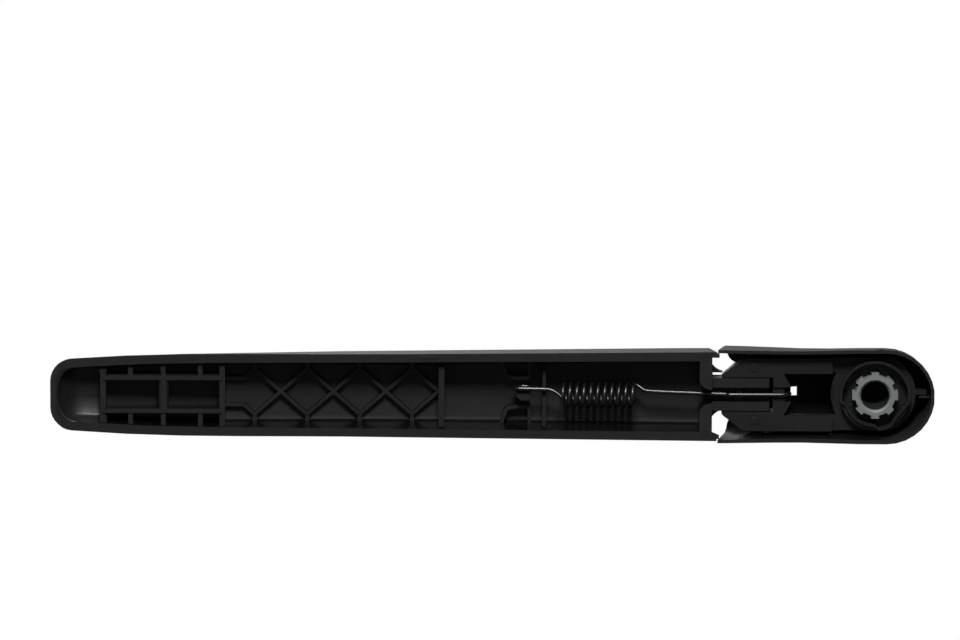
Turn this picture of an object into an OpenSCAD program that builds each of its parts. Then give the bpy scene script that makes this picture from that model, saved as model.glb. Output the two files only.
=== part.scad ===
// Rear wiper arm with a folding head, a pull spring and a hinged head cover.
// Axes: origin at the mouth of the spindle bore, +Z away from the glass,
// the arm runs along -X, and the open side of every moulding faces -Z.

/* [Arm] */
// Spindle axis to the outermost point of the arm's tip
arm_reach = 309.7; // [290:1:330]
// Half width of the arm at the head end
arm_half_root = 17; // [16.6:0.1:17.4]
// Half width of the arm along its ribbed middle
arm_half_mid = 15.7; // [15.2:0.1:16.2]
// Half width of the arm where its tip starts to round
arm_half_tip = 13.7; // [13.2:0.1:14.4]
// Corner radius of the tip seen from above
tip_corner = 8; // [6:0.5:9]
// Height of the arm over its rim at the head end
arm_depth_root = 15; // [14.6:0.1:15.6]
// Height of the arm over its rim at the tip
arm_depth_tip = 10.4; // [10:0.1:11.5]
// Width of the arm's rim face
arm_rim = 3.4; // [2.8:0.1:3.8]
// Thickness of the arm's skin
arm_skin = 2.5; // [2:0.1:2.8]

/* [Blade end] */
// Spindle axis to the middle of the blade bar
bar_reach = 267.3; // [262:0.5:272]
// Diameter of the blade bar
bar_d = 4.1; // [3.6:0.1:4.6]
// Clear width between the two long ribs that hold the bar
bar_span = 10.9; // [10:0.1:11.4]
// Thickness of the long ribs
rail_t = 1.7; // [1.4:0.1:2.2]

/* [Lattice] */
// Number of diamonds
diamonds = 4; // [3:1:4]
// Length of one diamond
diamond_pitch = 19.75; // [18.75:0.05:20]
// Thickness of a lattice rib
lattice_t = 1.3; // [1:0.1:1.8]
// Height of a lattice rib over the floor
lattice_h = 2.2; // [1.6:0.1:3]

/* [Fold hinge] */
// Spindle axis to the hinge pin
pivot_reach = 51; // [50:0.5:52]
// Height of the hinge pin over the rim plane
pivot_rise = 7.9; // [7.6:0.1:8.4]
// Diameter of the hinge pin
pin_d = 3; // [2.6:0.1:3.4]
// Running clearance between pin and ears, on the radius
pin_gap = 0.05; // [0.03:0.01:0.08]
// Thickness of one ear
ear_t = 3.6; // [3.2:0.1:3.8]
// Clear width between the two ears
ear_gap = 5.3; // [5:0.1:5.8]
// Pin axis to the far end of an ear
ear_heel = 11.7; // [11:0.1:12]
// Clearance between an ear and the cheek beside it
cheek_gap = 0.4; // [0.3:0.05:0.6]

/* [Spring] */
// Hinge pin to the post that the spring hooks on
post_reach = 82.5; // [81:0.5:84]
// Wire diameter
wire_d = 1.6; // [1.4:0.1:1.7]
// Outer diameter of the coil
coil_od = 10; // [9.4:0.1:10.4]
// Number of whole turns
coil_turns = 10; // [8:1:10]
// Length of one turn along the coil
coil_pitch = 2.62; // [2.4:0.02:2.66]

/* [Head] */
// Width of the head frame
frame_w = 27.8; // [27:0.1:28.4]
// Radius of the frame's round end
frame_end_r = 15.4; // [15:0.1:15.8]
// Outer radius of the boss ring
boss_r = 13.1; // [12.8:0.1:13.4]
// Radius of the spindle bore
bore_r = 5.2; // [5:0.1:5.6]
// Outer radius of the bush
bush_r = 7.5; // [7.2:0.1:7.8]
// Number of lugs on the bush
bush_lugs = 8; // [6:1:10]

/* [Cover] */
// Clear width between the frame and the cover's wall at each side
cover_gap = 2.3; // [2:0.1:2.6]
// Thickness of the cover's wall
cover_wall = 1.2; // [1:0.1:1.3]
// Spindle axis to the cover's trunnions
trunnion_reach = 44.4; // [44:0.1:45]
// Diameter of a trunnion
trunnion_d = 4; // [3.6:0.1:4.4]

/* [Hidden] */
$fn = 48;
eps = 0.01;

plastic = "#1b1c1d";
frame_plastic = "#232426";
steel = "#3a3b3d";
zinc = "#b9bcbd";

// The rim plane lies under the bush's face, and heights are counted from it.
bush_face = -1.2;
rim_z = bush_face - 2.2;
pivot_x = -pivot_reach;
pivot_z = rim_z + pivot_rise;
ear_out = ear_gap / 2 + ear_t;
cover_front_x = pivot_x - 8.2;

// Lengthwise stations of the arm.
tip_x = -arm_reach;
end_face_x = pivot_x - 10.3;
end_wall_x = end_face_x - 4.7;
shell_end_x = pivot_x - 5.5;
scoop_x = tip_x + 2.2;

// Heights over the rim.
rail_face = 1;
bridge_face = 2.6;
pocket_face = 8;
anchor_face = 4.2;
ear_face = 4.6;
ear_top = 12;
ear_web = 1.6;
ear_root_x = end_wall_x + 1.5;
top_round = 5;

function mix(a, b, t) = a + (b - a) * min(1, max(0, t));
function ease(t) = let (c = min(1, max(0, t))) c * c * (3 - 2 * c);

// Half width, height, wall slope and edge radius of the arm at a station.
function arm_t(x) = (end_face_x - x) / (end_face_x - tip_x);
function corner_pull(x, r) = let (s = tip_x + r - x) s > 0 ? r - sqrt(max(0, r * r - s * s)) : 0;
waist_t = 0.62;
taper_t = 0.72;
function arm_half(x) =
    mix(arm_half_root, arm_half_mid, pow(sin(90 * min(1, max(0, arm_t(x)) / waist_t)), 1.3))
    - (arm_half_mid - arm_half_tip) * pow(max(0, (arm_t(x) - taper_t) * 4), 2.4)
    - corner_pull(x, tip_corner);
function arm_depth(x) =
    mix(arm_depth_root, arm_depth_tip, arm_t(x) * arm_t(x)) - 0.75 * corner_pull(x, top_round);
function arm_slope(x) = mix(0.045, 0.22, ease((arm_t(x) - 0.5) * 2.2));
function arm_edge(x) = min(mix(3.2, 6.5, ease((arm_t(x) - 0.3) * 1.6)), arm_depth(x) * 0.8);

// The rim steps back a little round the very tip.
tip_step = 0.6;
tip_step_len = 4;
function rim_lift(x) = tip_step * (1 - ease((x - tip_x - tip_step_len) / 0.6));

// One cross-section, from the +Y rim over the top to the -Y rim.
function half_section(w, d, slope, r, crown, n_arc, n_top, foot = 0) =
    let (shoulder = w - slope * (d - r), cy = max(0.5, shoulder - r))
    concat(
        [[w, foot]],
        [for (k = [0:n_arc]) let (a = 90 * k / n_arc) [cy + (shoulder - cy) * cos(a), d - r + r * sin(a)]],
        [for (k = [1:n_top]) let (u = 1 - k / (n_top + 1)) [cy * u, d + crown * (1 - u * u)]]
    );
function full_section(half, crown_z) =
    concat(half, [[0, crown_z]], [for (k = [len(half) - 1:-1:0]) [-half[k][0], half[k][1]]]);
function ring(x, half, crown_z) = [for (p = full_section(half, crown_z)) [x, p[0], rim_z + p[1]]];

// A closed solid through rings of equal length, with flat ends.
module loft(rings) {
    n = len(rings[0]);
    last = len(rings) - 1;
    polyhedron(
        points = [for (r = rings) for (p = r) p],
        faces = concat(
            [[for (i = [0:n - 1]) i]],
            [for (k = [0:last - 1]) for (i = [0:n - 1])
                [k * n + i, (k + 1) * n + i, (k + 1) * n + (i + 1) % n, k * n + (i + 1) % n]],
            [[for (i = [n - 1:-1:0]) last * n + i]]
        ),
        convexity = 6
    );
}

crown = 0.8;
function outer_ring(x) =
    ring(x, half_section(arm_half(x), arm_depth(x), arm_slope(x), arm_edge(x), crown, 5, 2, rim_lift(x)),
        arm_depth(x) + crown);
function tip_stations(r, n) = [for (k = [0:n]) tip_x + r * (1 - cos(90 * k / n))];
arm_stations = concat(
    tip_stations(tip_corner, 7),
    [for (k = [1:12]) mix(tip_x + tip_corner, shell_end_x, k / 12)]
);

// The hollow: a little under the skin, with a scooped end at the tip.
cavity_fillet = 1.8;
cavity_slope = 0.1;
scoop_len = 12;
function scoop(x) = let (s = min(1, (x - scoop_x) / scoop_len)) sqrt(max(0, 1 - (1 - s) * (1 - s)));
hollow_corner = 5;
function cavity_half(x) =
    arm_half(max(x, tip_x + tip_corner)) - arm_rim
    - (let (s = scoop_x + hollow_corner - x)
        s > 0 ? hollow_corner - sqrt(max(0, hollow_corner * hollow_corner - s * s)) : 0);
function cavity_depth(x) = max(0.6, (arm_depth(max(x, tip_x + tip_corner)) - arm_skin) * scoop(x));
function cavity_ring(x, grow = 0) =
    let (
        d = cavity_depth(x) + grow,
        r = min(cavity_fillet, 0.6 * d),
        half = half_section(cavity_half(x) + grow, d, cavity_slope, r, 0.3, 3, 1)
    )
    [for (p = full_section(half, d + 0.3)) [x, p[0], rim_z + (p[1] == 0 ? -1 : p[1])]];
cavity_stations = concat(
    [for (k = [0:6]) scoop_x + scoop_len * (1 - cos(90 * k / 6))],
    [for (k = [1:10]) mix(scoop_x + scoop_len, end_wall_x, k / 10)]
);

module arm_outer() {
    loft([for (x = arm_stations) outer_ring(x)]);
}

module cavity() {
    loft([for (x = cavity_stations) cavity_ring(x)]);
}

// The hollow grown into the skin, which the ribs are cut to so that they root in the walls.
rib_root = 1.1;
module rib_space() {
    loft([for (x = [for (k = [0:8]) mix(scoop_x + 4, end_wall_x, k / 8)]) cavity_ring(x, rib_root)]);
}

// A straight rib between two plan points, from one height to the roof.
module rib(a, b, t, face, roof = 14.5) {
    d = b - a;
    translate([a[0], a[1], rim_z + face])
        rotate([0, 0, atan2(d[1], d[0])])
            translate([0, -t / 2, 0]) cube([norm(d), t, roof - face]);
}

module mirrored() {
    children();
    mirror([0, 1, 0]) children();
}

// Plan places along the arm, counted from the spindle axis.
rail_y = bar_span / 2 + rail_t / 2;
stub_t = 1.8;
cross_t = 2.1;
wall_reach_y = 14.4;
bay_x = [for (s = [-22.6, -12.3, 0, 13.9, 22.1]) s - bar_reach];
rail_start_x = bay_x[0];
rail_end_x = bay_x[4];
lattice_x0 = bay_x[4] + 12;
lattice_x1 = lattice_x0 + diamonds * diamond_pitch - diamond_pitch / 2;
lattice_y = 8.7;
bridge_x = lattice_x1 + 1.2;
anchor_x = pivot_x - post_reach;
spring_wall_x = anchor_x + 9.2;

module rails() {
    mirrored() {
        rib([rail_start_x, rail_y], [rail_end_x, rail_y], rail_t, rail_face);
        // The stub ribs between rail and wall.
        for (k = [1:3])
            rib([bay_x[k], rail_y], [bay_x[k], wall_reach_y], stub_t, rail_face + 0.3);
    }
    for (x = [bay_x[0], bay_x[4]])
        rib([x, -wall_reach_y], [x, wall_reach_y], cross_t, rail_face + 0.5);
    // The first cross rib is thicker where it meets the walls.
    mirrored()
        rib([bay_x[0], rail_y + 2], [bay_x[0], wall_reach_y], cross_t + 0.5, rail_face + 0.4);
}

module lattice() {
    mirrored() {
        // Short ribs that run from the last cross rib into the lattice.
        rib([rail_end_x, rail_y - 1.2], [rail_end_x + 8, rail_y - 1.2], lattice_t, pocket_face);
        rib([rail_end_x + 8, rail_y - 1.2], [lattice_x0, lattice_y], lattice_t, lattice_face(lattice_x0));
        for (k = [0:diamonds - 1]) {
            x0 = lattice_x0 + k * diamond_pitch;
            f = lattice_face(x0);
            rib([x0, lattice_y], [x0 + diamond_pitch / 2, 0], lattice_t, f);
            if (k < diamonds - 1)
                rib([x0 + diamond_pitch / 2, 0], [x0 + diamond_pitch, lattice_y], lattice_t, f);
            rib([x0, lattice_y], [x0, wall_reach_y], lattice_t + 0.3, f);
        }
    }
}
function lattice_face(x) = arm_depth(x) - arm_skin - lattice_h;

// The place where the spring hooks on: two pockets and a post between them.
anchor_t = 1.4;
post_d = 4.8;
post_h = 10;
post_x = anchor_x + 1.2;
module anchor() {
    rib([bridge_x, -wall_reach_y], [bridge_x, wall_reach_y], cross_t, bridge_face);
    rib([spring_wall_x, -wall_reach_y], [spring_wall_x, wall_reach_y], lattice_t, bridge_face + 2.4);
    mirrored() {
        rib([anchor_x - 7.7, 13.8], [anchor_x - 4.9, 6.2], anchor_t, pocket_face);
        rib([anchor_x - 4.9, 6.2], [anchor_x - 1, 5.4], anchor_t, pocket_face);
        rib([anchor_x - 1, 5.4], [anchor_x + 3.7, 5.6], anchor_t, pocket_face);
        rib([anchor_x + 3.7, 5.6], [anchor_x + 3.7, wall_reach_y], lattice_t, pocket_face);
    }
    // The post is round where the wire goes over it.
    translate([post_x, -post_d / 2, rim_z + anchor_face]) cube([anchor_x + 3.9 - post_x, post_d, post_h]);
    translate([post_x, 0, rim_z + anchor_face]) cylinder(d = post_d, h = post_h);
}

// Everything that stands on the floor of the arm, cut to the hollow.
module inner_ribs() {
    intersection() {
        union() {
            rails();
            lattice();
            anchor();
            translate([-bar_reach, rail_y, rim_z + rail_face + bar_d / 2])
                rotate([90, 0, 0]) cylinder(d = bar_d, h = 2 * rail_y);
        }
        rib_space();
    }
}

// Side view of one ear: it follows a circle about the pin at its heel.
module ear_profile() {
    intersection() {
        translate([ear_root_x, rim_z + ear_face])
            square([pivot_x + ear_heel - ear_root_x, ear_top - ear_face]);
        union() {
            translate([pivot_x, pivot_z]) circle(r = ear_heel);
            translate([ear_root_x - 1, rim_z]) square([pivot_x - ear_root_x + 1, 2 * ear_top]);
        }
    }
}

module ears() {
    mirrored()
        translate([0, ear_out, 0]) rotate([90, 0, 0]) linear_extrude(ear_t) ear_profile();
    // The web that joins the ears on the cover side.
    intersection() {
        translate([0, ear_out, 0]) rotate([90, 0, 0]) linear_extrude(2 * ear_out) ear_profile();
        translate([ear_root_x, -ear_out, rim_z + ear_top - ear_web])
            cube([pivot_x + ear_heel - ear_root_x, 2 * ear_out, ear_web]);
    }
}

// Plan of the two claws of skin that reach over the hinge.
claw_tip = [pivot_x - 6, 7];
claw_r = 6.6;
claw_gap = 0.8;
module claw_plan() {
    difference() {
        translate([end_face_x - 1, ear_out - 1.4]) square([claw_tip[0] - end_face_x + 1, 8]);
        translate([pivot_x - 4.5, 7 + claw_r]) circle(r = claw_r);
        translate([end_face_x + 0.5, ear_out + claw_gap - 3]) square([8, 3]);
    }
}

// The side walls run on past the end wall, up to the cover, and lean back to clear it.
side_wall_in = 15;
side_wall_x = cover_front_x - 0.35;
side_lean = 0.22;
module hinge_room() {
    translate([end_face_x, -side_wall_in, rim_z - 1]) cube([20, 2 * side_wall_in, 30]);
    translate([0, 20, 0]) rotate([90, 0, 0]) linear_extrude(40)
        polygon([
            [side_wall_x, rim_z - 1],
            [side_wall_x + 10, rim_z - 1],
            [side_wall_x + 10, rim_z + 30],
            [side_wall_x - side_lean * 30, rim_z + 30],
            [side_wall_x, rim_z]
        ]);
}

// The tongue at each side that reaches inside the cover's front edge.
tongue_in = 14.8;
tongue_out = 16.2;
tongue_x = cover_front_x + 0.6;
module tongue() {
    translate([0, tongue_out, 0]) rotate([90, 0, 0]) linear_extrude(tongue_out - tongue_in)
        polygon([
            [end_face_x - 1, rim_z + 0.2],
            [tongue_x, rim_z + 0.2],
            [tongue_x, rim_z + 1.2],
            [end_face_x, rim_z + 8],
            [end_face_x - 1, rim_z + 8]
        ]);
}

// The end wall turns into the ears in a round corner, open between them for the wire.
throat_r = 4;
throat_corner = [for (a = [0:15:90])
    [end_wall_x + throat_r * (1 - cos(a)), ear_gap / 2 + throat_r * (1 - sin(a))]];
module throat() {
    translate([0, 0, rim_z - 1]) linear_extrude(1 + ear_top - ear_web)
        polygon(concat(
            [[end_wall_x - 1, ear_gap / 2 + throat_r]],
            throat_corner,
            [[end_face_x + 2, ear_gap / 2], [end_face_x + 2, -ear_gap / 2]],
            [for (k = [len(throat_corner) - 1:-1:0]) [throat_corner[k][0], -throat_corner[k][1]]],
            [[end_wall_x - 1, -ear_gap / 2 - throat_r]]
        ));
}

module arm_shell() {
    color(plastic) difference() {
        union() {
            difference() {
                arm_outer();
                cavity();
                // Room for the hinge, up to the claws of skin.
                difference() {
                    hinge_room();
                    mirrored()
                        translate([0, 0, rim_z + arm_depth_root - arm_skin - 0.3]) linear_extrude(10) claw_plan();
                }
                mirrored() end_mark();
            }
            inner_ribs();
            ears();
            mirrored() tongue();
        }
        throat();
        translate([pivot_x, ear_out + 1, pivot_z])
            rotate([90, 0, 0]) cylinder(r = pin_d / 2 + pin_gap, h = 2 * ear_out + 2);
    }
}

// Shallow round marks where the moulding was pushed out of its mould.
mark_sink = 0.2;
module end_mark() {
    translate([end_wall_x + 2.3, 14.2, rim_z - 1]) cylinder(d = 2.4, h = 1 + mark_sink);
}
module frame_mark() {
    translate([pivot_x + 5.8, 10.2, frame_face - 1]) cylinder(d = 4.4, h = 1 + mark_sink);
}

// Heights of the head frame, in the part's own frame.
frame_face = rim_z + 4.3;
frame_plate = 2.4;
frame_back_face = frame_face + 2.6;
frame_top = rim_z + 12;
slot_half = ear_out + cheek_gap;
frame_front_x = pivot_x - 6.6;
web_x0 = pivot_x + ear_heel + 1.2;
web_x1 = web_x0 + 3.8;
nose_x = web_x0 + 6.6;
nose_half = 2.8;
pocket_half = 8;
pocket_wall_r = 16.5;
pocket_end = -13;
past = 40;
cheek_wall = 1.6;
// The nose starts this far over the frame's face, and is this high.
nose_low = 1;
nose_h = 3.5;
groove_len = nose_x - web_x0 + 1.5;
// The spring's hook turns round the nose, and the bay behind it takes the wire.
hook_r = 2.9;
hook_x = nose_x - 3.4;
hook_bay_x = hook_x + 0.9;
// The frame's plate steps back at this place, toward the boss.
step_x = -16;
// The hollows on the cover side start behind the trunnions, and end over the boss.
cheek_hollow_x = -trunnion_reach + 1.4;
back_hollow_x = 6;

// Plan of one front corner of the frame: a straight chamfer that rounds into the side.
front_len = 9.6;
front_corner = [
    [frame_front_x + front_len, frame_w / 2],
    [frame_front_x + front_len - 1.6, frame_w / 2 - 0.35],
    [frame_front_x + front_len - 3, frame_w / 2 - 1.2],
    [frame_front_x + 0.7, slot_half + 1.5],
    [frame_front_x, slot_half + 0.7]
];

module frame_plan() {
    intersection() {
        union() {
            translate([frame_front_x + front_len, -frame_w / 2]) square([-frame_front_x - front_len, frame_w]);
            circle(r = frame_end_r);
            polygon(concat(
                [for (p = front_corner) [p[0], -p[1]]],
                [for (k = [len(front_corner) - 1:-1:0]) front_corner[k]]
            ));
        }
        translate([-2 * past, -frame_w / 2]) square([4 * past, frame_w]);
    }
}

// The opening in front of the boss where the hook of the spring lies.
module pocket_plan() {
    difference() {
        translate([web_x1, -pocket_half]) square([pocket_end - web_x1, 2 * pocket_half]);
        circle(r = pocket_wall_r);
        // The blunt nose that the hook goes over.
        polygon([
            [web_x1 - 1, -pocket_half],
            [web_x1, -pocket_half],
            [nose_x, -nose_half],
            [nose_x, nose_half],
            [web_x1, pocket_half],
            [web_x1 - 1, pocket_half]
        ]);
    }
}

// The raised lip on the boss: a circle with one step in and one flat.
lip_r = 12.4;
lip_step_r = 10.9;
lip_t = 0.9;
function lip_radius(a) =
    a > 84 && a < 163 ? lip_step_r
    : a > 16 && a < 60 ? lip_step_r / cos(a - 38)
    : lip_r;
module lip_outline(grow) {
    polygon([for (a = [0:6:354]) (min(lip_r, lip_radius(a)) + grow) * [cos(a), sin(a)]]);
}

module frame_tray() {
    difference() {
        translate([0, 0, frame_face]) linear_extrude(frame_top - frame_face) frame_plan();
        // The glass side steps back round the boss.
        translate([step_x, -past / 2, frame_face - 1]) cube([past, past, 1 + frame_back_face - frame_face]);
        // Hollow toward the cover, with walls left round the cheeks and the plate.
        mirrored()
            translate([cheek_hollow_x, slot_half + cheek_wall, frame_face + frame_plate])
                cube([web_x0 + cheek_wall - cheek_hollow_x, frame_w / 2 - slot_half - 2 * cheek_wall, past]);
        translate([nose_x + 0.8, -frame_w / 2 + cheek_wall, frame_back_face + frame_plate])
            cube([back_hollow_x - nose_x - 0.8, frame_w - 2 * cheek_wall, past]);
        // The front slopes down under the cover, which dips there as it opens.
        translate([0, frame_w, 0]) rotate([90, 0, 0]) linear_extrude(2 * frame_w)
            polygon([
                [pivot_x + 3, frame_top + eps],
                [frame_front_x - 1, frame_face + 2.2],
                [frame_front_x - 1, frame_top + eps]
            ]);
    }
}

boss_shelf = 1.1;
boss_back = 3.4;
recess_depth = 5.8;
module boss() {
    translate([0, 0, bush_face + boss_shelf])
        cylinder(r = boss_r, h = frame_top - boss_back - bush_face - boss_shelf);
    translate([0, 0, bush_face]) linear_extrude(boss_shelf + 1) lip_outline(lip_t);
    cylinder(r = bush_r + 2.6, h = frame_top);
}

// The block at the round end that the cover closes over.
latch = [4.2, 1.9, 3.4];
module latch_block() {
    translate([frame_end_r - 0.6, -1.7, frame_back_face]) cube(latch + [0.6, 0, 0]);
}

module head_frame() {
    color(frame_plastic) difference() {
        union() {
            frame_tray();
            boss();
            latch_block();
        }
        mirrored() frame_mark();
        // The slot that the ears swing in.
        translate([frame_front_x - 1, -slot_half, frame_face - 1])
            cube([web_x0 - frame_front_x + 1, 2 * slot_half, past]);
        translate([0, 0, frame_face - 1]) linear_extrude(past) pocket_plan();
        // The groove that the wire lies in, the room behind the nose and over it for its hook.
        translate([web_x0 - 1, -nose_half, frame_face - 1]) cube([groove_len, 2 * nose_half, 1 + nose_low]);
        translate([web_x0 - 1, -nose_half, frame_face + nose_low + nose_h]) cube([groove_len, 2 * nose_half, past]);
        translate([hook_bay_x, -nose_half, frame_face - 1]) cube([groove_len, 2 * nose_half, past]);
        // The recess round the bush.
        translate([0, 0, bush_face - 1]) linear_extrude(1 + recess_depth) lip_outline(0);
        translate([0, 0, bush_face]) cylinder(r = bush_r, h = past);
        for (k = [0:bush_lugs - 1])
            rotate([0, 0, k * 360 / bush_lugs]) translate([0, -lug_w / 2, bush_face]) cube([lug_r, lug_w, lug_h]);
        // Pin bore and the bearings of the cover.
        translate([pivot_x, frame_w, pivot_z]) rotate([90, 0, 0]) cylinder(d = pin_d, h = 2 * frame_w);
        mirrored()
            translate([-trunnion_reach, frame_w / 2 + 1, trunnion_z])
                rotate([90, 0, 0]) cylinder(r = trunnion_d / 2 + pin_gap, h = trunnion_depth + 1);
    }
}

// The bush: a ring with lugs, a round pilot and a taper.
lug_r = 8.6;
lug_w = 3;
lug_h = 8;
pilot_len = 3.6;
taper_end = 9;
taper_end_r = 4.4;
bush_top = frame_top + 0.6;
module spindle_bush() {
    color(zinc) difference() {
        union() {
            translate([0, 0, bush_face]) cylinder(r = bush_r, h = bush_top - bush_face);
            for (k = [0:bush_lugs - 1])
                rotate([0, 0, k * 360 / bush_lugs])
                    translate([0, -lug_w / 2, bush_face]) cube([lug_r, lug_w, lug_h]);
        }
        translate([0, 0, bush_face - eps]) cylinder(r1 = bore_r + 1, r2 = bore_r, h = -bush_face + eps);
        translate([0, 0, -eps]) cylinder(r = bore_r, h = pilot_len + 2 * eps);
        translate([0, 0, pilot_len]) cylinder(r1 = bore_r, r2 = taper_end_r, h = taper_end - pilot_len);
        translate([0, 0, pilot_len + 1]) cylinder(r = taper_end_r, h = past);
    }
}

pin_len = frame_w - 4;
module hinge_pin() {
    color(steel) translate([pivot_x, pin_len / 2, pivot_z]) rotate([90, 0, 0]) cylinder(d = pin_d, h = pin_len);
}

// Heights of the cover over the rim, from its front edge to the boss.
cover_centre_x = 4.3;
cover_waist = frame_w / 2 + cover_gap + cover_wall;
cover_r = cover_waist + 0.6;
cover_end_x = cover_centre_x + cover_r;
cover_depth_front = 17.4;
cover_depth_boss = 21.6;
cover_top_round = 7;
trunnion_z = rim_z + 8.6;
trunnion_depth = 2.4;
cover_flare = 0.4;
cover_waist_x = -32;
function cover_half(x, inset) =
    let (r = cover_r - inset, s = x - cover_centre_x)
    s > 0 ? sqrt(max(0.01, r * r - s * s))
    : x > cover_waist_x ? mix(cover_waist, cover_r, ease((x - cover_waist_x) / -cover_waist_x)) - inset
    : cover_waist - inset + cover_flare * (cover_waist_x - x) / (cover_waist_x - cover_front_x);
function cover_slope(x) = mix(0.03, 0.13, ease((x - cover_front_x) / 50));
function cover_pull(x, inset) =
    let (s = x - (cover_end_x - inset - cover_top_round))
    s > 0 ? cover_top_round - sqrt(max(0, cover_top_round * cover_top_round - s * s)) : 0;
function cover_depth(x, inset) =
    mix(cover_depth_front, cover_depth_boss, ease((x - cover_front_x) / 52)) - inset - cover_pull(x, inset);
function cover_ring(x, inset) =
    let (
        d = cover_depth(x, inset),
        half = half_section(cover_half(x, inset), d, cover_slope(x), min(5.5 - inset, 0.8 * d), 0.8, 5, 2)
    )
    [for (p = full_section(half, d + 0.8)) [x, p[0], rim_z + (p[1] == 0 && inset > 0 ? -1 : p[1])]];
function cover_stations(x0, inset) = concat(
    [for (k = [0:6]) mix(x0, cover_centre_x, k / 6)],
    [for (k = [1:7]) cover_centre_x + (cover_r - inset) * sin(82 * k / 7)]
);

// Plan of the gap that the claws and ears of the arm fold into, between two round lobes.
notch_half = 9.8;
notch_depth = 18.4;
notch_corner = 3;
lobe_r = 5.2;
lobe = [cover_front_x + 9, notch_half + lobe_r];
module cover_notch_plan() {
    difference() {
        translate([cover_front_x - 5, -lobe[1]]) square([lobe[0] - cover_front_x + 5, 2 * lobe[1]]);
        mirrored() translate(lobe) circle(r = lobe_r);
    }
    translate([cover_front_x, -notch_half]) square([notch_depth - notch_corner, 2 * notch_half]);
    translate([cover_front_x, -notch_half + notch_corner]) square([notch_depth, 2 * (notch_half - notch_corner)]);
    for (side = [-1, 1])
        translate([cover_front_x + notch_depth - notch_corner, side * (notch_half - notch_corner)])
            circle(r = notch_corner);
}

module head_cover() {
    color(plastic) {
        difference() {
            loft([for (x = cover_stations(cover_front_x, 0)) cover_ring(x, 0)]);
            loft([for (x = cover_stations(cover_front_x - 1, cover_wall)) cover_ring(x, cover_wall)]);
            translate([0, 0, rim_z + 7]) linear_extrude(past) cover_notch_plan();
            // The front leans back, so that the arm's side walls clear it as they fold.
            translate([0, past / 2, 0]) rotate([90, 0, 0]) linear_extrude(past)
                polygon([
                    [cover_front_x - 2, rim_z],
                    [cover_front_x, rim_z],
                    [cover_front_x + cover_lean * past, rim_z + past],
                    [cover_front_x - 2, rim_z + past]
                ]);
            // The small slot that a tool opens the cover with.
            translate([slot_at[0], slot_at[1], 0]) cube([slot_size[0], slot_size[1], past]);
        }
        mirrored() trunnion();
        cover_ribs();
    }
}

// What stands on the cover's inner side: a pad beside the slot and thin ribs at the walls.
cover_lean = 0.24;
slot_at = [-31.1, -0.4];
slot_size = [2.3, 3.5];
cover_rib_t = 0.8;
module cover_ribs() {
    intersection() {
        union() {
            translate([slot_at[0] + slot_size[0], slot_at[1], rim_z + 16]) cube([2.1, slot_size[1], past]);
            mirrored()
                translate([step_x - 1, frame_w / 2 + 0.5, rim_z + 4]) cube([cover_rib_t, cover_gap + 1, past]);
            translate([frame_end_r + 1.2, 0.7, frame_back_face]) cube([5, cover_rib_t, past]);
        }
        loft([for (x = cover_stations(cover_front_x, 0.6)) cover_ring(x, 0.6)]);
    }
}

// A short round stub with a foot that reaches in from the cover's wall.
module trunnion() {
    wall_y = cover_half(-trunnion_reach, cover_wall) - 0.6;
    translate([-trunnion_reach, wall_y, trunnion_z]) rotate([90, 0, 0])
        cylinder(d = trunnion_d, h = wall_y - frame_w / 2 + trunnion_depth - 0.4);
    translate([-trunnion_reach, wall_y, trunnion_z]) rotate([90, 0, 0])
        cylinder(d = trunnion_d + 2, h = wall_y - frame_w / 2 - 0.4);
}

// The spring: one wire from the hook on the post, through the coil, to the hook on the nose.
wire_sides = 8;
coil_r = (coil_od - wire_d) / 2;
coil_y = 0.7;
coil_z = rim_z + 6.4;
coil_x0 = anchor_x + 16;
coil_steps = 12;
coil_last = coil_turns * coil_steps + coil_steps / 4;
coil_end_x = coil_x0 + coil_last * coil_pitch / coil_steps;
wire_z = rim_z + 4.2;
post_y = -2.2;
left_route = [
    [anchor_x + 3.2, post_y, wire_z + 4.2],
    [anchor_x + 0.4, post_y, wire_z + 4],
    [anchor_x - 1.5, post_y, wire_z + 2.8],
    [anchor_x - 2.1, post_y, wire_z + 0.9],
    [anchor_x - 1.2, post_y, wire_z - 0.6],
    [anchor_x + 0.6, post_y, wire_z - 1],
    [anchor_x + 7, post_y + 0.1, wire_z - 0.9],
    [anchor_x + 11.2, post_y + 0.3, wire_z - 1],
    [anchor_x + 13.6, post_y + 1.3, wire_z - 1.4]
];
right_route = [
    [coil_end_x + 1, coil_y - coil_r + 0.1, coil_z - 0.6],
    [coil_end_x + 2.2, -2.7, wire_z + 1],
    [coil_end_x + 3.8, -1.7, wire_z + 0.5],
    [coil_end_x + 6.5, -1.2, wire_z + 0.3],
    [coil_end_x + 22, -0.6, wire_z + 0.1],
    [pivot_x - 5.2, -0.2, wire_z],
    [pivot_x - 4.2, 0.1, wire_z + 0.1],
    [pivot_x - 3.2, 0, wire_z],
    [hook_x - 4, 0, wire_z],
    [hook_x, 0, wire_z]
];
coil_points = [for (k = [0:coil_last])
    let (a = -90 - 360 * k / coil_steps)
    [coil_x0 + k * coil_pitch / coil_steps, coil_y + coil_r * cos(a), coil_z + coil_r * sin(a)]];
hook_points = [for (a = [-60:30:90])
    [hook_x + hook_r * cos(a), 0, wire_z + hook_r + hook_r * sin(a)]];
wire_route = concat(left_route, coil_points, right_route, hook_points, [[hook_x - 2.6, 0, wire_z + 2 * hook_r - 0.3]]);

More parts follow.
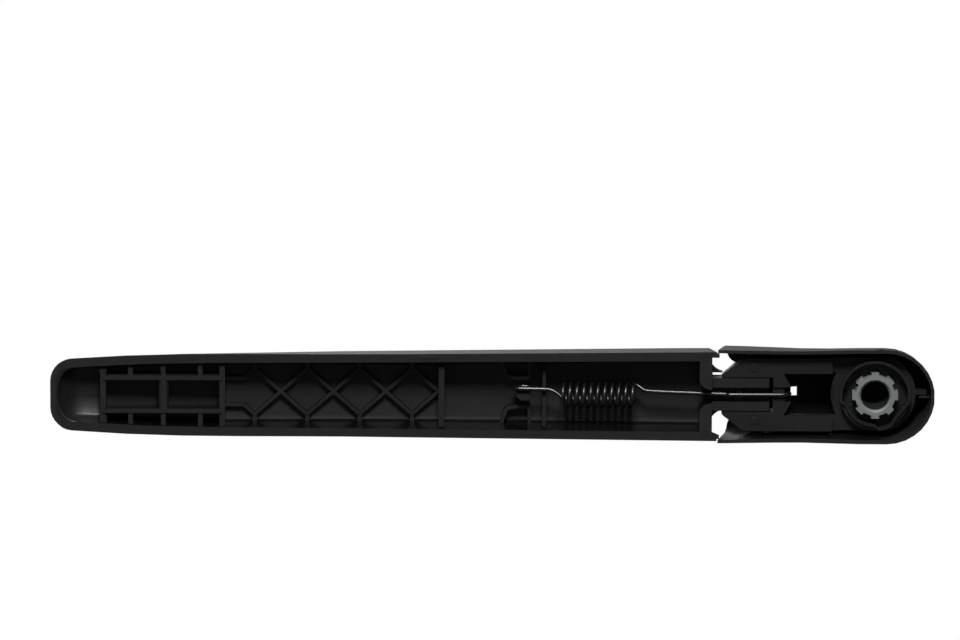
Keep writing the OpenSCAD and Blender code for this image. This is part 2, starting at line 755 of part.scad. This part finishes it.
function unit(v) = v / max(norm(v), eps * eps);
function along(route, i) = unit(route[min(i + 1, len(route) - 1)] - route[max(i - 1, 0)]);
function wire_ring(route, i) =
    let (
        t = along(route, i),
        side = unit(cross(t, abs(t[0]) > 0.9 ? [0, 0, 1] : [1, 0, 0])),
        up = cross(side, t)
    )
    [for (k = [0:wire_sides - 1])
        let (a = 360 * k / wire_sides)
        route[i] + wire_d / 2 * (cos(a) * side + sin(a) * up)];

module tension_spring() {
    color(steel) loft([for (i = [0:len(wire_route) - 1]) wire_ring(wire_route, i)]);
}

arm_shell();
head_frame();
spindle_bush();
head_cover();
hinge_pin();
tension_spring();
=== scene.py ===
"""Rear wiper arm seen from its open underside, on a pale floor in plain studio light."""
import math

import bmesh
import bpy
from mathutils import Matrix, Vector


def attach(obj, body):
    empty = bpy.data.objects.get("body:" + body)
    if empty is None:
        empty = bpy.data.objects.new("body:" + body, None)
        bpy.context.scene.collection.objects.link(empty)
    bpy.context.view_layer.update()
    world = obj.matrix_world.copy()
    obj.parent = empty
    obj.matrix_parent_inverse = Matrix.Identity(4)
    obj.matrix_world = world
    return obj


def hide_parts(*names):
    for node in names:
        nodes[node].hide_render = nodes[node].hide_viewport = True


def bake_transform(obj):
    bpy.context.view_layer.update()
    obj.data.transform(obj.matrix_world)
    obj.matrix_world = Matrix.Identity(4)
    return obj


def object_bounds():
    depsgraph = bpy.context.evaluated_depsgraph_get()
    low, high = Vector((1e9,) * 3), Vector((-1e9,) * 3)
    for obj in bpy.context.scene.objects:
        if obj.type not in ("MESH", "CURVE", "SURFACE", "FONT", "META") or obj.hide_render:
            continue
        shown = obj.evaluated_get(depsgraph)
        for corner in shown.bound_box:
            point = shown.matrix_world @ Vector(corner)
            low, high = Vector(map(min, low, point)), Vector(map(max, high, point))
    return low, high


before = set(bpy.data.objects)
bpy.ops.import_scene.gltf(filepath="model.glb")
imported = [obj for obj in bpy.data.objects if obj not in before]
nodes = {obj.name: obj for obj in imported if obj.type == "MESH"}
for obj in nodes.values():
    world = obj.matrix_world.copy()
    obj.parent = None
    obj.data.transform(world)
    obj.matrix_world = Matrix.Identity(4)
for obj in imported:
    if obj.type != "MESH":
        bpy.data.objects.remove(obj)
cad_box = [list(v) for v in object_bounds()]
scene = bpy.context.scene
MM = 0.001

# Camera: a long lens under the arm, with the photograph's framing.
MM_PER_PIXEL = 0.375
IMAGE_WIDTH = 960
CAMERA_TARGET = Vector((-148.5, -28.33, 0)) * MM
CAMERA_ELEVATION = math.radians(-80)
CAMERA_ROLL = math.radians(0.2)
CAMERA_DISTANCE = 3.0
CAMERA_CLIP = (0.1, 50)
SENSOR_MM = 36

# Even light on the object, and what its mirror rays see, from straight down to straight up.
WORLD_DIFFUSE = 0.14
ROOM_GLOW = [(0.0, 0.05), (0.15, 0.04), (0.42, 0.12), (0.62, 0.6), (0.85, 0.3), (1.0, 0.04)]
# Square lamps: name, place in metres, power in watts, side in metres.
LAMPS = [
    ("key", (-0.12, -1.05, -0.95), 18, 0.35),
    ("front", (-0.15, -0.25, -1.5), 0.35, 0.9),
    ("side", (-1.5, -0.35, -0.9), 0.6, 0.7),
    ("edge", (-0.1, -1.4, -0.42), 5, 0.7),
    ("fill", (0.2, 0.9, -1.2), 0.3, 1.2),
    ("top_key", (-0.6, -0.9, 1.2), 14, 0.9),
    ("top_fill", (0.5, 0.9, 1.0), 6, 1.2),
]
FLOOR_SIZE = 6
FLOOR_DROP = 0.2 * MM
FLOOR_COLOR = (0.86, 0.86, 0.86, 1)
FLOOR_ROUGHNESS = 0.9
FLOOR_GLOW = 0.22
WHITE = (1, 1, 1, 1)

# Where a surface has painted shade or a roughness of its own: pairs are where the change starts and
# where it is full.
WALL_FACING = (-0.1, -0.35)
STEEP_FACING = (-0.8, -0.95)
RIM_FACING = (-0.8, -0.95)
RIM_HEIGHT = (4 * MM, 3 * MM)
COVER_FACING = (-0.1, -0.3)
COVER_DEPTH = (-3 * MM, -2 * MM)
COVER_FRONT = (-50 * MM, -44 * MM)
COVER_END = (8 * MM, 0)
BORE_RADIUS = (5.6 * MM, 5.25 * MM)
# Painted shade: the share of colour and specular level kept on inner walls and in the bush's bore.
PAINTED_WALL_SHADE = 0.3
PAINTED_BORE_SHADE = 0.12
STEEP_ROUGHNESS = 0.25
RIM_ROUGHNESS = 0.9

# Slow patches in colour and gloss, and the fine grain over them.
PATCH_SCALE = 60
PATCH_DETAIL = 4
PATCH_SHADES = (0.8, 1.25)
PATCH_GLOSS = 0.08
GRAIN_DETAIL = 2
GRAIN_STRENGTH = 0.5

# How the solids' edges are finished.
WELD_MM = 0.002
FLAT_DEGREES = 0.5
BEVEL_DEGREES = 35
BEVEL_SEGMENTS = 2
SMOOTH_DEGREES = 28
FLAT_WEIGHT = 60

PAD_SEGMENTS = 3
DISC_SIDES = 40
# Shares of a disc's radius and height, from its flat top down.
DISC_PROFILE = ((0.9, 0), (0.97, 0.15), (1, 0.5), (1, 1))


def unit(value):
    """The value, kept between 0 and 1."""
    return min(max(value, 0), 1)


def make_camera():
    data = bpy.data.cameras.new("camera")
    data.sensor_width = SENSOR_MM
    data.lens = SENSOR_MM * CAMERA_DISTANCE / (IMAGE_WIDTH * MM_PER_PIXEL * MM)
    data.clip_start, data.clip_end = CAMERA_CLIP
    camera = bpy.data.objects.new("camera", data)
    scene.collection.objects.link(camera)
    back = Vector((0, -math.cos(CAMERA_ELEVATION), math.sin(CAMERA_ELEVATION)))
    camera.location = CAMERA_TARGET + back * CAMERA_DISTANCE
    camera.rotation_mode = "QUATERNION"
    aim = (-back).to_track_quat("-Z", "Y")
    camera.rotation_quaternion = aim @ Matrix.Rotation(CAMERA_ROLL, 3, "Z").to_quaternion()
    scene.camera = camera


def make_lamp(name, place, power, size):
    """A square area lamp aimed at the middle of the arm."""
    data = bpy.data.lights.new(name, "AREA")
    data.energy = power
    data.size = size
    lamp = bpy.data.objects.new(name, data)
    scene.collection.objects.link(lamp)
    lamp.location = place
    lamp.rotation_mode = "QUATERNION"
    target = Vector((CAMERA_TARGET.x, 0, 0))
    lamp.rotation_quaternion = (target - Vector(place)).to_track_quat("-Z", "Y")


def feed(tree, socket, value):
    """Links the value to the socket if it is a socket too, and sets it there otherwise."""
    if isinstance(value, bpy.types.NodeSocket):
        tree.links.new(value, socket)
    else:
        socket.default_value = value


def mixed(tree, factor, a, b, kind="FLOAT"):
    """a where the factor is 0 and b where it is 1."""
    node = tree.nodes.new("ShaderNodeMix")
    node.data_type = kind
    for name, value in (("Factor", factor), ("A", a), ("B", b)):
        feed(tree, node.inputs[name], value)
    return node.outputs["Result"]


def math_node(tree, operation, a, b):
    node = tree.nodes.new("ShaderNodeMath")
    node.operation = operation
    for socket, value in zip(node.inputs, (a, b)):
        feed(tree, socket, value)
    return node.outputs[0]


def stretch(tree, value, low, high):
    """0 at low, 1 at high, smooth between."""
    span = tree.nodes.new("ShaderNodeMapRange")
    span.interpolation_type = "SMOOTHSTEP"
    span.inputs["From Min"].default_value = low
    span.inputs["From Max"].default_value = high
    tree.links.new(value, span.inputs["Value"])
    return span.outputs["Result"]


def separate(tree, vector):
    node = tree.nodes.new("ShaderNodeSeparateXYZ")
    tree.links.new(vector, node.inputs[0])
    return node.outputs


def make_world():
    """White to the camera, a lower even light on the object, and a room for its mirror rays."""
    world = bpy.data.worlds.new("studio")
    scene.world = world
    world.use_nodes = True
    tree = world.node_tree
    tree.nodes.clear()
    coords = tree.nodes.new("ShaderNodeTexCoord")
    height = tree.nodes.new("ShaderNodeMapRange")
    height.inputs["From Min"].default_value = -1
    height.inputs["From Max"].default_value = 1
    tree.links.new(separate(tree, coords.outputs["Generated"])["Z"], height.inputs["Value"])
    room = tree.nodes.new("ShaderNodeValToRGB")
    stops = room.color_ramp.elements
    stops[0].position = ROOM_GLOW[0][0]
    stops[1].position = ROOM_GLOW[-1][0]
    for place, _ in ROOM_GLOW[1:-1]:
        stops.new(place)
    for stop, (_, glow) in zip(stops, ROOM_GLOW):
        stop.color = (glow, glow, glow, 1)
    tree.links.new(height.outputs["Result"], room.inputs["Fac"])
    rays = tree.nodes.new("ShaderNodeLightPath").outputs
    level = mixed(tree, rays["Is Glossy Ray"], WORLD_DIFFUSE, room.outputs["Color"])
    level = mixed(tree, rays["Is Transmission Ray"], level, 1.0)
    level = mixed(tree, rays["Is Camera Ray"], level, 1.0)
    background = tree.nodes.new("ShaderNodeBackground")
    background.inputs["Color"].default_value = WHITE
    tree.links.new(level, background.inputs["Strength"])
    out = tree.nodes.new("ShaderNodeOutputWorld")
    tree.links.new(background.outputs[0], out.inputs["Surface"])


def make_floor():
    """A pale floor under the rims, which shows from above only and lets the lamps under it through."""
    low_z = cad_box[0][2]
    bpy.ops.mesh.primitive_plane_add(size=FLOOR_SIZE, location=(CAMERA_TARGET.x, 0, low_z - FLOOR_DROP))
    floor = bpy.context.object
    floor.name = "floor"
    floor.visible_shadow = False
    floor.visible_glossy = False
    material = bpy.data.materials.new("floor")
    material.use_nodes = True
    tree = material.node_tree
    shader = tree.nodes["Principled BSDF"]
    shader.inputs["Base Color"].default_value = FLOOR_COLOR
    shader.inputs["Roughness"].default_value = FLOOR_ROUGHNESS
    shader.inputs["Emission Color"].default_value = WHITE
    rays = tree.nodes.new("ShaderNodeLightPath").outputs
    seen = math_node(tree, "ADD", rays["Is Camera Ray"], rays["Is Glossy Ray"])
    seen = math_node(tree, "ADD", seen, rays["Is Transmission Ray"])
    tree.links.new(math_node(tree, "MULTIPLY", seen, FLOOR_GLOW), shader.inputs["Emission Strength"])
    clear = tree.nodes.new("ShaderNodeBsdfTransparent")
    geometry = tree.nodes.new("ShaderNodeNewGeometry")
    mix = tree.nodes.new("ShaderNodeMixShader")
    tree.links.new(geometry.outputs["Backfacing"], mix.inputs["Fac"])
    tree.links.new(shader.outputs[0], mix.inputs[1])
    tree.links.new(clear.outputs[0], mix.inputs[2])
    tree.links.new(mix.outputs[0], tree.nodes["Material Output"].inputs["Surface"])
    floor.data.materials.append(material)


def outward(tree, place, geometry):
    """How much a face looks away from the part's middle line, from -1 to 1, and where it faces."""
    facing = separate(tree, geometry.outputs["Normal"])
    side = math_node(tree, "SIGN", place["Y"], 0)
    return math_node(tree, "MULTIPLY", side, facing["Y"]), facing


def open_edges(tree, coords, place):
    """1 on the flat edges of rims and ribs on the open side, 0 on the hollow's floor."""
    facing = separate(tree, coords.outputs["Normal"])
    flat = stretch(tree, facing["Z"], *RIM_FACING)
    return math_node(tree, "MULTIPLY", flat, stretch(tree, place["Z"], *RIM_HEIGHT))


def inner_walls(tree, coords, geometry):
    """Painted shade, darker colour and weaker gloss, where a wall faces the part's middle line, and
    smoother where it stands steep.
    """
    place = separate(tree, coords.outputs["Object"])
    away, facing = outward(tree, place, geometry)
    # Painted shade on the walls that face the middle line.
    painted_shades = [(stretch(tree, away, *WALL_FACING), PAINTED_WALL_SHADE)]
    finishes = [(stretch(tree, away, *STEEP_FACING), STEEP_ROUGHNESS),
                (open_edges(tree, coords, place), RIM_ROUGHNESS)]
    return painted_shades, finishes


def cover_inside(tree, coords, geometry):
    """Painted shade inside the cover over the frame, but not at its open front or at its round end."""
    place = separate(tree, coords.outputs["Object"])
    away, facing = outward(tree, place, geometry)
    deep = stretch(tree, place["Z"], *COVER_DEPTH)
    under = math_node(tree, "MAXIMUM", stretch(tree, away, *COVER_FACING),
                      stretch(tree, facing["Z"], *COVER_FACING))
    middle = math_node(tree, "MULTIPLY", stretch(tree, place["X"], *COVER_FRONT),
                       stretch(tree, place["X"], *COVER_END))
    # Painted shade: deep under the cover, facing inwards, away from its front and end.
    dark = math_node(tree, "MULTIPLY", math_node(tree, "MULTIPLY", deep, under), middle)
    return [(dark, PAINTED_WALL_SHADE)], [(open_edges(tree, coords, place), RIM_ROUGHNESS)]


def bore_inside(tree, coords, geometry):
    """Painted shade inside the bush's bore, but not on its face and lugs."""
    place = tree.nodes.new("ShaderNodeVectorMath")
    place.operation = "MULTIPLY"
    place.inputs[1].default_value = (1, 1, 0)
    tree.links.new(coords.outputs["Object"], place.inputs[0])
    radius = tree.nodes.new("ShaderNodeVectorMath")
    radius.operation = "LENGTH"
    tree.links.new(place.outputs[0], radius.inputs[0])
    # Painted shade: darker colour and specular level inside the bore.
    return [(stretch(tree, radius.outputs["Value"], *BORE_RADIUS), PAINTED_BORE_SHADE)], []


def surface(name, color, roughness, grain_mm, grain_depth, metallic=0.0, specular=0.5, varied=None):
    """A fine-grained surface whose colour and gloss change slowly.

    varied picks the faces with painted shade, darker and duller, and those with a roughness of their
    own.
    """
    material = bpy.data.materials.new(name)
    material.use_nodes = True
    tree = material.node_tree
    shader = tree.nodes["Principled BSDF"]
    shader.inputs["Metallic"].default_value = metallic
    shader.inputs["Specular IOR Level"].default_value = specular
    coords = tree.nodes.new("ShaderNodeTexCoord")
    geometry = tree.nodes.new("ShaderNodeNewGeometry")
    patches = tree.nodes.new("ShaderNodeTexNoise")
    patches.inputs["Scale"].default_value = PATCH_SCALE
    patches.inputs["Detail"].default_value = PATCH_DETAIL
    tree.links.new(coords.outputs["Object"], patches.inputs["Vector"])
    darker, lighter = [[c * share for c in color] + [1] for share in PATCH_SHADES]
    base = mixed(tree, patches.outputs["Fac"], darker, lighter, "RGBA")
    gloss = tree.nodes.new("ShaderNodeMapRange")
    gloss.inputs["To Min"].default_value = roughness - PATCH_GLOSS
    gloss.inputs["To Max"].default_value = roughness + PATCH_GLOSS
    tree.links.new(patches.outputs["Fac"], gloss.inputs["Value"])
    rough = gloss.outputs["Result"]
    if varied:
        painted_shades, finishes = varied(tree, coords, geometry)
        level = specular
        # Painted shade: darker colour and weaker specular level where each mask is full.
        for part, share in painted_shades:
            base = mixed(tree, part, base, [c * share for c in color] + [1], "RGBA")
            level = mixed(tree, part, level, specular * share)
        tree.links.new(level, shader.inputs["Specular IOR Level"])
        for part, value in finishes:
            rough = mixed(tree, part, rough, value)
    tree.links.new(base, shader.inputs["Base Color"])
    tree.links.new(rough, shader.inputs["Roughness"])
    grain = tree.nodes.new("ShaderNodeTexNoise")
    grain.inputs["Scale"].default_value = 1 / (grain_mm * MM)
    grain.inputs["Detail"].default_value = GRAIN_DETAIL
    tree.links.new(coords.outputs["Object"], grain.inputs["Vector"])
    bump = tree.nodes.new("ShaderNodeBump")
    bump.inputs["Strength"].default_value = GRAIN_STRENGTH
    bump.inputs["Distance"].default_value = grain_depth * MM
    tree.links.new(grain.outputs["Fac"], bump.inputs["Height"])
    tree.links.new(bump.outputs["Normal"], shader.inputs["Normal"])
    return material


def smooth_by_angle(degrees):
    """A node group that shades smooth and keeps edges sharper than the angle."""
    tree = bpy.data.node_groups.new("smooth_by_angle", "GeometryNodeTree")
    tree.interface.new_socket("Geometry", in_out="INPUT", socket_type="NodeSocketGeometry")
    tree.interface.new_socket("Geometry", in_out="OUTPUT", socket_type="NodeSocketGeometry")
    start = tree.nodes.new("NodeGroupInput")
    end = tree.nodes.new("NodeGroupOutput")
    faces = tree.nodes.new("GeometryNodeSetShadeSmooth")
    faces.domain = "FACE"
    edges = tree.nodes.new("GeometryNodeSetShadeSmooth")
    edges.domain = "EDGE"
    angle = tree.nodes.new("GeometryNodeInputMeshEdgeAngle")
    small = tree.nodes.new("FunctionNodeCompare")
    small.operation = "LESS_THAN"
    small.inputs["B"].default_value = math.radians(degrees)
    tree.links.new(start.outputs[0], faces.inputs["Geometry"])
    tree.links.new(faces.outputs[0], edges.inputs["Geometry"])
    tree.links.new(angle.outputs["Unsigned Angle"], small.inputs["A"])
    tree.links.new(small.outputs["Result"], edges.inputs["Shade Smooth"])
    tree.links.new(edges.outputs[0], end.inputs[0])
    return tree


def dress(name, material, group, edge_mm):
    """Gives a solid its material, takes flat faces together, rounds its edges and shades it smooth."""
    piece = nodes[name]
    piece.data.materials.clear()
    piece.data.materials.append(material)
    weld = piece.modifiers.new("weld", "WELD")
    weld.merge_threshold = WELD_MM * MM
    flat = piece.modifiers.new("flat", "DECIMATE")
    flat.decimate_type = "DISSOLVE"
    flat.angle_limit = math.radians(FLAT_DEGREES)
    bevel = piece.modifiers.new("bevel", "BEVEL")
    bevel.width = edge_mm * MM
    bevel.segments = BEVEL_SEGMENTS
    bevel.limit_method = "ANGLE"
    bevel.angle_limit = math.radians(BEVEL_DEGREES)
    smooth = piece.modifiers.new("smooth", "NODES")
    smooth.node_group = group
    flats = piece.modifiers.new("flats", "WEIGHTED_NORMAL")
    flats.keep_sharp = True
    flats.weight = FLAT_WEIGHT


def new_piece(name, points, faces, material, smooth=True):
    """A mesh piece from points in millimetres."""
    mesh = bpy.data.meshes.new(name)
    mesh.from_pydata([Vector(p) * MM for p in points], [], faces)
    mesh.validate()
    mesh.materials.append(material)
    mesh.polygons.foreach_set("use_smooth", [smooth] * len(mesh.polygons))
    mesh.update()
    piece = bpy.data.objects.new(name, mesh)
    scene.collection.objects.link(piece)
    return piece


def curve_through(points, steps):
    """Points on a smooth line through the given ones."""
    line = [Vector(p) for p in points]
    ends = [2 * line[0] - line[1]] + line + [2 * line[-1] - line[-2]]
    result = []
    for k in range(1, len(ends) - 2):
        a, b, c, d = ends[k - 1:k + 3]
        for i in range(steps):
            t = i / steps
            result.append(0.5 * (2 * b + (c - a) * t + (2 * a - 5 * b + 4 * c - d) * t ** 2
                                 + (3 * b - a - 3 * c + d) * t ** 3))
    return result + [line[-1]]


def tube(line, radius, sides):
    """Rings along a line, with rounded ends."""
    cap_reach, cap_width = 0.6, 0.75
    rings = []
    side = None
    for k, p in enumerate(line):
        ahead = (line[min(k + 1, len(line) - 1)] - line[max(k - 1, 0)]).normalized()
        side = ahead.orthogonal() if side is None else side - ahead * side.dot(ahead)
        side.normalize()
        other = ahead.cross(side)
        turns = [2 * math.pi * i / sides for i in range(sides)]
        rings.append([(side * math.cos(a) + other * math.sin(a)) * radius for a in turns])
    start = (line[0] - line[1]).normalized() * radius
    end = (line[-1] - line[-2]).normalized() * radius
    points = [line[0] + start]
    points += [line[0] + start * cap_reach + r * cap_width for r in rings[0]]
    for p, ring in zip(line, rings):
        points += [p + r for r in ring]
    points += [line[-1] + end * cap_reach + r * cap_width for r in rings[-1]]
    points.append(line[-1] + end)
    faces = [(0, 1 + (i + 1) % sides, 1 + i) for i in range(sides)]
    for k in range(len(line) + 1):
        low, high = 1 + k * sides, 1 + (k + 1) * sides
        for i in range(sides):
            j = (i + 1) % sides
            faces.append((low + i, low + j, high + j, high + i))
    last = 1 + (len(line) + 1) * sides
    faces += [(last + i, last + (i + 1) % sides, len(points) - 1) for i in range(sides)]
    return points, faces


def make_spring(material):
    """The wire, in millimetres: from the post through the coil to the nose on the head."""
    wire_r, wire_sides, wire_steps, wire_z = 0.78, 12, 3, 0.8
    post_x, post_y = -133.5, -2.2
    coil_x, coil_y, coil_z, coil_r, pitch = -117.5, 0.7, 3.0, 4.2, 2.62
    steps, turns = 12, 10.25
    end_x = coil_x + turns * pitch
    pivot_x, hook_x, hook_r = -51, -34.9, 2.9
    # Round the post, from its far side, and on to the coil.
    route = [(post_x + x, post_y + y, wire_z + z) for x, y, z in (
        (3.2, 0, 4.2), (0.4, 0, 4), (-1.5, 0, 2.8), (-2.1, 0, 0.9), (-1.2, 0, -0.6), (0.6, 0, -1),
        (7, 0.1, -0.9), (11.2, 0.3, -1), (13.6, 1.3, -1.4))]
    for k in range(round(turns * steps) + 1):
        a = -math.pi / 2 - 2 * math.pi * k / steps
        route.append((coil_x + k * pitch / steps,
                      coil_y + coil_r * math.cos(a),
                      coil_z + coil_r * math.sin(a)))
    # The long leg, over the hinge and up to the nose.
    route += [
        (end_x + 1, coil_y - coil_r + 0.1, coil_z - 0.6),
        (end_x + 2.2, -2.7, wire_z + 1),
        (end_x + 3.8, -1.7, wire_z + 0.5),
        (end_x + 6.5, -1.2, wire_z + 0.3),
        (end_x + 22, -0.6, wire_z + 0.1),
        (pivot_x - 5.2, -0.2, wire_z),
        (pivot_x - 4.2, 0.1, wire_z + 0.1),
        (pivot_x - 3.2, 0, wire_z),
        (hook_x - 12, 0, wire_z),
        (hook_x - 4, 0, wire_z),
        (hook_x, 0, wire_z),
    ]
    for degrees in range(-60, 91, 30):
        a = math.radians(degrees)
        route.append((hook_x + hook_r * math.cos(a), 0, wire_z + hook_r + hook_r * math.sin(a)))
    route.append((hook_x - 2.6, 0, wire_z + 2 * hook_r - 0.3))
    points, faces = tube(curve_through(route, wire_steps), wire_r, wire_sides)
    spring = new_piece("spring_wire", points, faces, material)
    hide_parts("tension_spring")
    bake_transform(spring)


def make_scoop(material):
    """The rounded bowl inside the arm's tip, in millimetres, laid just inside the solid's own walls."""
    arm = nodes["arm_shell"]
    bpy.context.view_layer.update()
    first_x, last_x, widest, corner = -308.6, -291.6, 12.6, 8
    columns, rows = 60, 84
    # The bowl: its depth, how much less at its sides, and how far its round edge reaches in.
    depth, crown, fade = 8.6, 2.6, 2
    bowl_x, bowl_run, bowl_power = -307.9, 13, 0.62
    # The rim's edge, which steps up towards the tip.
    rim_z, step_x, step_run, step_h = -3.4, -304.5, 2, 0.6
    # How far over the edge it is hollow, how far the border sinks into the edge and laps into
    # the walls, how far the bowl keeps off the hollow's floor, and where its round end starts.
    hollow_over, sink, lap, lift, inset_x = 0.3, 0.06, 0.5, 0.08, 0.8
    # The rays that find the walls: where they start, how far past the border, how finely.
    probe_z, probe_ahead, probe_step = -20, 0.1, 0.05

    def reach(x, y):
        """Whether a ray from the open side meets the solid, and how high."""
        hit, place = arm.ray_cast(Vector((x, y, probe_z)) * MM, Vector((0, 0, 1)))[:2]
        return hit, place.z / MM

    points, inside, faces = [], [], []
    for i in range(columns + 1):
        x = first_x + (last_x - first_x) * i / columns
        edge_z = rim_z + step_h * unit((step_x - x) / step_run)
        low = edge_z + sink
        along = unit((x - bowl_x) / bowl_run)
        floor = depth * (1 - (1 - along) ** 2) ** bowl_power
        half = 0
        while half < widest and reach(x, half + probe_ahead)[1] > edge_z + hollow_over:
            half += probe_step
        for j in range(rows + 1):
            y = (half + lap) * (2 * j / rows - 1)
            hit, top_z = reach(x, y)
            inset = (max(first_x + inset_x + corner - x, 0), max(abs(y) - half + corner, 0))
            inward = min(corner - math.hypot(*inset), half - abs(y))
            share = 1 - unit(inward / fade)
            fall = 1 - unit(inward / max(half, 1))
            bowl_z = edge_z + max(floor - crown * fall ** 2, 0) * math.sqrt(1 - share ** 2)
            in_hollow = hit and top_z > edge_z + hollow_over
            points.append((x, y, max(low, min(bowl_z, top_z - lift)) if in_hollow else low))
            inside.append(hit)
    for i in range(columns):
        for j in range(rows):
            a = i * (rows + 1) + j
            face = (a, a + 1, a + rows + 2, a + rows + 1)
            if all(inside[k] for k in face):
                faces.append(face)
    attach(new_piece("tip_scoop", points, faces, material), "arm")


def make_disc(name, place, radius, height, material, body):
    """A low round button with a soft edge, its top at place."""
    x, y, z = place
    turns = [2 * math.pi * k / DISC_SIDES for k in range(DISC_SIDES)]
    points = [(x, y, z)]
    for share, drop in DISC_PROFILE:
        r = radius * share
        points += [(x + r * math.cos(a), y + r * math.sin(a), z + height * drop) for a in turns]
    faces = [(0, 1 + (k + 1) % DISC_SIDES, 1 + k) for k in range(DISC_SIDES)]
    for ring in range(len(DISC_PROFILE) - 1):
        first = 1 + ring * DISC_SIDES
        for k in range(DISC_SIDES):
            a, b = first + k, first + (k + 1) % DISC_SIDES
            faces.append((a, b, b + DISC_SIDES, a + DISC_SIDES))
    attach(new_piece(name, points, faces, material), body)


def make_pad(name, low, high, soft, material, body):
    """A small raised pad with bevelled edges, between two corners."""
    mesh = bmesh.new()
    bmesh.ops.create_cube(mesh, size=1)
    size = Vector(high) - Vector(low)
    middle = (Vector(high) + Vector(low)) / 2
    for v in mesh.verts:
        v.co = Vector([c * s for c, s in zip(v.co, size)]) + middle
    bmesh.ops.bevel(mesh, geom=mesh.edges[:], offset=soft, segments=PAD_SEGMENTS, affect="EDGES")
    points = [v.co.copy() for v in mesh.verts]
    faces = [[v.index for v in f.verts] for f in mesh.faces]
    mesh.free()
    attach(new_piece(name, points, faces, material, smooth=False), body)


make_camera()
make_world()
make_floor()
for lamp_values in LAMPS:
    make_lamp(*lamp_values)

# Name, colour, roughness, and the grain's size and depth in millimetres.
black = (0.0095, 0.0098, 0.0105)
moulding = surface("arm_plastic", black, 0.52, 0.45, 0.05, varied=inner_walls)
smooth_moulding = surface("arm_plastic_smooth", black, 0.42, 0.45, 0.02)
glass_filled = surface("frame_plastic", (0.0085, 0.0088, 0.0096), 0.54, 0.55, 0.07, specular=0.42)
cover_skin = surface("cover_plastic", (0.0098, 0.0101, 0.0108), 0.52, 0.45, 0.05, varied=cover_inside)
zinc = surface("bush_metal", (0.26, 0.275, 0.28), 0.5, 0.35, 0.02, metallic=0.3, varied=bore_inside)
pin_steel = surface("pin_steel", (0.03, 0.03, 0.032), 0.4, 0.3, 0.005, metallic=0.6)
coated_wire = surface("spring_steel", (0.005, 0.005, 0.0055), 0.34, 0.8, 0.001, specular=0.9)

shading = smooth_by_angle(SMOOTH_DEGREES)
for node_name, finish, edge_width in (
        ("arm_shell", moulding, 0.22),
        ("head_cover", cover_skin, 0.2),
        ("head_frame", glass_filled, 0.2),
        ("spindle_bush", zinc, 0.15),
        ("hinge_pin", pin_steel, 0.1)):
    dress(node_name, finish, shading, edge_width)

make_spring(coated_wire)
make_scoop(smooth_moulding)
for side, end in ((-1, "top"), (1, "low")):
    make_disc("frame_mark_" + end, (-45.2, side * 10.2, 0.98), 1.75, 0.12,
              glass_filled, "head")
    make_disc("end_mark_" + end, (-63.7, side * 14.2, -3.3), 0.85, 0.1,
              moulding, "arm")
make_pad("rim_pad", (-171.4, -15.3, -3.62), (-164.3, -14.1, -3.3), 0.1,
         moulding, "arm")
make_pad("cover_tab", (0.6, -18.25, -2.9), (3.0, -17.5, -0.6), 0.12,
         cover_skin, "cover")

scene.view_settings.view_transform = "Standard"
